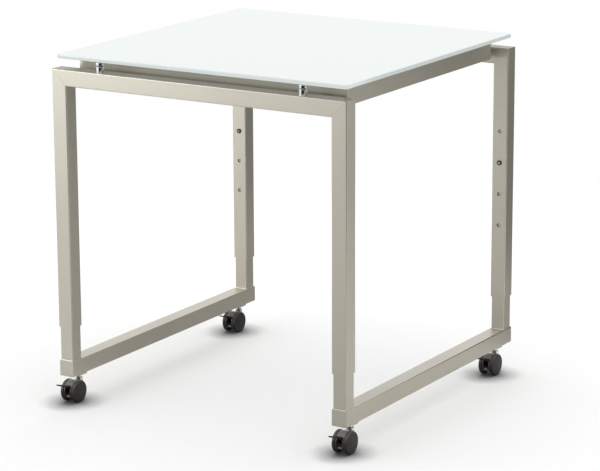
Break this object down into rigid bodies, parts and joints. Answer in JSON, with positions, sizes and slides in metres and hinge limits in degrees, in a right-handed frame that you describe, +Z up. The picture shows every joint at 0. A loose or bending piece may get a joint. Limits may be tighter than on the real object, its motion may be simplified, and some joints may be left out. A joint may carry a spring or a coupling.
{
  "type": "veterinary exam table",
  "caption": "Square white glass exam table on chrome standoffs, with a satin steel tube frame, index-hole telescopic legs and braked twin-wheel casters.",
  "frame": {"origin": "on the floor, at the middle of the footprint, brake pedals included", "axes": "+Z up, -Y the front with the brake pedals, +X to the right seen from the front"},
  "size_m": [0.815, 0.8514, 0.864],
  "materials": {
    "white_glass": "white back-coated tempered glass with a pale green-grey polished edge",
    "satin_steel": "satin brushed steel with a warm champagne tone, brushed along each tube",
    "polished_chrome": "bright polished chrome",
    "dark_screw": "dark oxide button-head screw",
    "axle_steel": "plain turned steel",
    "caster_plastic": "black moulded nylon, semi-gloss",
    "wheel_plastic": "black moulded nylon wheel, fine moulded grain"
  },
  "bodies": {
    "table_frame": {"glass_top": "white_glass", "glass_standoff_front_left": "polished_chrome", "glass_standoff_front_right": "polished_chrome", "glass_standoff_back_left": "polished_chrome", "glass_standoff_back_right": "polished_chrome", "front_beam": "satin_steel", "back_beam": "satin_steel", "outer_leg_front_left": "satin_steel", "outer_leg_front_right": "satin_steel", "outer_leg_back_left": "satin_steel", "outer_leg_back_right": "satin_steel", "tie_front_tube": "satin_steel", "tie_back_tube": "satin_steel", "tie_left_tube": "satin_steel", "tie_right_tube": "satin_steel", "tie_stub_front_left": "satin_steel", "tie_stub_front_right": "satin_steel", "tie_stub_back_left": "satin_steel", "tie_stub_back_right": "satin_steel"},
    "lock_screw_front_left": {"lock_screw_front_left": "dark_screw"},
    "lock_screw_front_right": {"lock_screw_front_right": "dark_screw"},
    "lock_screw_back_left": {"lock_screw_back_left": "dark_screw"},
    "lock_screw_back_right": {"lock_screw_back_right": "dark_screw"},
    "left_foot": {"foot_rail_left": "satin_steel", "inner_leg_front_left": "satin_steel", "front_left_caster_plate": "satin_steel", "front_left_caster_stem": "polished_chrome", "inner_leg_back_left": "satin_steel", "back_left_caster_plate": "satin_steel", "back_left_caster_stem": "polished_chrome"},
    "right_foot": {"foot_rail_right": "satin_steel", "inner_leg_front_right": "satin_steel", "front_right_caster_plate": "satin_steel", "front_right_caster_stem": "polished_chrome", "inner_leg_back_right": "satin_steel", "back_right_caster_plate": "satin_steel", "back_right_caster_stem": "polished_chrome"},
    "front_left_caster": {"front_left_caster_housing": "caster_plastic", "front_left_caster_axle": "axle_steel"},
    "front_left_left_wheel": {"front_left_caster_left_wheel": "wheel_plastic"},
    "front_left_right_wheel": {"front_left_caster_right_wheel": "wheel_plastic"},
    "front_left_brake_lever": {"front_left_caster_brake_lever": "caster_plastic"},
    "front_right_caster": {"front_right_caster_housing": "caster_plastic", "front_right_caster_axle": "axle_steel"},
    "front_right_left_wheel": {"front_right_caster_left_wheel": "wheel_plastic"},
    "front_right_right_wheel": {"front_right_caster_right_wheel": "wheel_plastic"},
    "front_right_brake_lever": {"front_right_caster_brake_lever": "caster_plastic"},
    "back_left_caster": {"back_left_caster_housing": "caster_plastic", "back_left_caster_axle": "axle_steel"},
    "back_left_left_wheel": {"back_left_caster_left_wheel": "wheel_plastic"},
    "back_left_right_wheel": {"back_left_caster_right_wheel": "wheel_plastic"},
    "back_left_brake_lever": {"back_left_caster_brake_lever": "caster_plastic"},
    "back_right_caster": {"back_right_caster_housing": "caster_plastic", "back_right_caster_axle": "axle_steel"},
    "back_right_left_wheel": {"back_right_caster_left_wheel": "wheel_plastic"},
    "back_right_right_wheel": {"back_right_caster_right_wheel": "wheel_plastic"},
    "back_right_brake_lever": {"back_right_caster_brake_lever": "caster_plastic"}
  },
  "joints": [
    {"name": "height_left", "type": "slide", "parent": "table_frame", "child": "left_foot", "axis": [0, 0, -1], "range_m": [-0.08, 0.16]},
    {"name": "height_right", "type": "slide", "parent": "table_frame", "child": "right_foot", "axis": [0, 0, -1], "range_m": [-0.08, 0.16]},
    {"name": "front_left_screw_withdraw", "type": "slide", "parent": "table_frame", "child": "lock_screw_front_left", "axis": [0, 1, 0], "range_m": [0, 0.012]},
    {"name": "front_right_screw_withdraw", "type": "slide", "parent": "table_frame", "child": "lock_screw_front_right", "axis": [0, 1, 0], "range_m": [0, 0.012]},
    {"name": "back_left_screw_withdraw", "type": "slide", "parent": "table_frame", "child": "lock_screw_back_left", "axis": [0, -1, 0], "range_m": [0, 0.012]},
    {"name": "back_right_screw_withdraw", "type": "slide", "parent": "table_frame", "child": "lock_screw_back_right", "axis": [0, -1, 0], "range_m": [0, 0.012]},
    {"name": "front_left_swivel", "type": "hinge", "parent": "left_foot", "child": "front_left_caster", "pos_m": [-0.386, -0.34632, 0.0275], "axis": [0, 0, 1], "continuous": true},
    {"name": "front_left_left_wheel_spin", "type": "hinge", "parent": "front_left_caster", "child": "front_left_left_wheel", "pos_m": [-0.386, -0.37032, 0.0275], "axis": [1, 0, 0], "continuous": true},
    {"name": "front_left_right_wheel_spin", "type": "hinge", "parent": "front_left_caster", "child": "front_left_right_wheel", "pos_m": [-0.386, -0.37032, 0.0275], "axis": [1, 0, 0], "continuous": true},
    {"name": "front_left_brake_press", "type": "hinge", "parent": "front_left_caster", "child": "front_left_brake_lever", "pos_m": [-0.386, -0.37032, 0.0275], "axis": [1, 0, 0], "range_deg": [0, 22]},
    {"name": "front_right_swivel", "type": "hinge", "parent": "right_foot", "child": "front_right_caster", "pos_m": [0.386, -0.34632, 0.0275], "axis": [0, 0, 1], "continuous": true},
    {"name": "front_right_left_wheel_spin", "type": "hinge", "parent": "front_right_caster", "child": "front_right_left_wheel", "pos_m": [0.386, -0.37032, 0.0275], "axis": [1, 0, 0], "continuous": true},
    {"name": "front_right_right_wheel_spin", "type": "hinge", "parent": "front_right_caster", "child": "front_right_right_wheel", "pos_m": [0.386, -0.37032, 0.0275], "axis": [1, 0, 0], "continuous": true},
    {"name": "front_right_brake_press", "type": "hinge", "parent": "front_right_caster", "child": "front_right_brake_lever", "pos_m": [0.386, -0.37032, 0.0275], "axis": [1, 0, 0], "range_deg": [0, 22]},
    {"name": "back_left_swivel", "type": "hinge", "parent": "left_foot", "child": "back_left_caster", "pos_m": [-0.386, 0.37568, 0.0275], "axis": [0, 0, 1], "continuous": true},
    {"name": "back_left_left_wheel_spin", "type": "hinge", "parent": "back_left_caster", "child": "back_left_left_wheel", "pos_m": [-0.386, 0.35168, 0.0275], "axis": [1, 0, 0], "continuous": true},
    {"name": "back_left_right_wheel_spin", "type": "hinge", "parent": "back_left_caster", "child": "back_left_right_wheel", "pos_m": [-0.386, 0.35168, 0.0275], "axis": [1, 0, 0], "continuous": true},
    {"name": "back_left_brake_press", "type": "hinge", "parent": "back_left_caster", "child": "back_left_brake_lever", "pos_m": [-0.386, 0.35168, 0.0275], "axis": [1, 0, 0], "range_deg": [0, 22]},
    {"name": "back_right_swivel", "type": "hinge", "parent": "right_foot", "child": "back_right_caster", "pos_m": [0.386, 0.37568, 0.0275], "axis": [0, 0, 1], "continuous": true},
    {"name": "back_right_left_wheel_spin", "type": "hinge", "parent": "back_right_caster", "child": "back_right_left_wheel", "pos_m": [0.386, 0.35168, 0.0275], "axis": [1, 0, 0], "continuous": true},
    {"name": "back_right_right_wheel_spin", "type": "hinge", "parent": "back_right_caster", "child": "back_right_right_wheel", "pos_m": [0.386, 0.35168, 0.0275], "axis": [1, 0, 0], "continuous": true},
    {"name": "back_right_brake_press", "type": "hinge", "parent": "back_right_caster", "child": "back_right_brake_lever", "pos_m": [0.386, 0.35168, 0.0275], "axis": [1, 0, 0], "range_deg": [0, 22]}
  ],
  "couplings": [
    {"joint": "height_right", "follows": "height_left", "ratio": 1}
  ]
}
